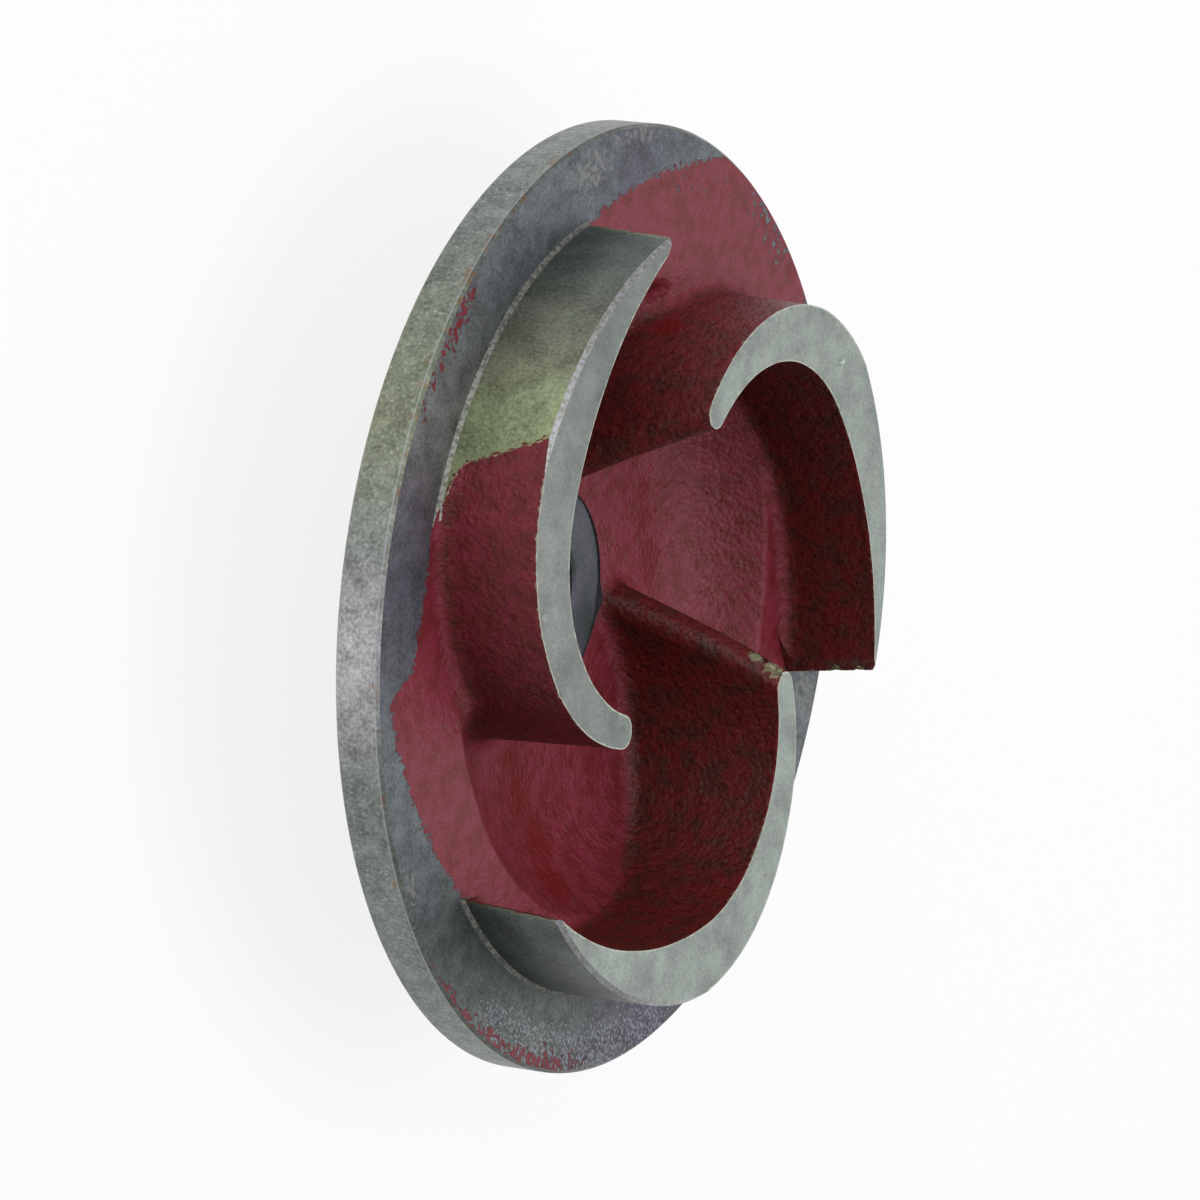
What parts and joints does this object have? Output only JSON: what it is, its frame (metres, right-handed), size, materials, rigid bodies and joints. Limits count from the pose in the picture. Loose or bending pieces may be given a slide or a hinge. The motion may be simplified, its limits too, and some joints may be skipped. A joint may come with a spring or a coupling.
{
  "type": "pump impeller",
  "caption": "Semi-open centrifugal pump impeller: curved vanes on a dished round back plate, with a keyed central bore and a faced hub.",
  "frame": {"origin": "centre of the bore on the back end of the hub, the flat that the part rests on", "axes": "+Z along the bore, out of the eye; +Y through the keyway; +X completes the right-hand frame"},
  "size_m": [0.2, 0.2, 0.0667],
  "materials": {
    "iron_casting": "machined faces bare, cast faces in dark red paint"
  },
  "bodies": {
    "root": {"impeller": "iron_casting"}
  },
  "joints": []
}
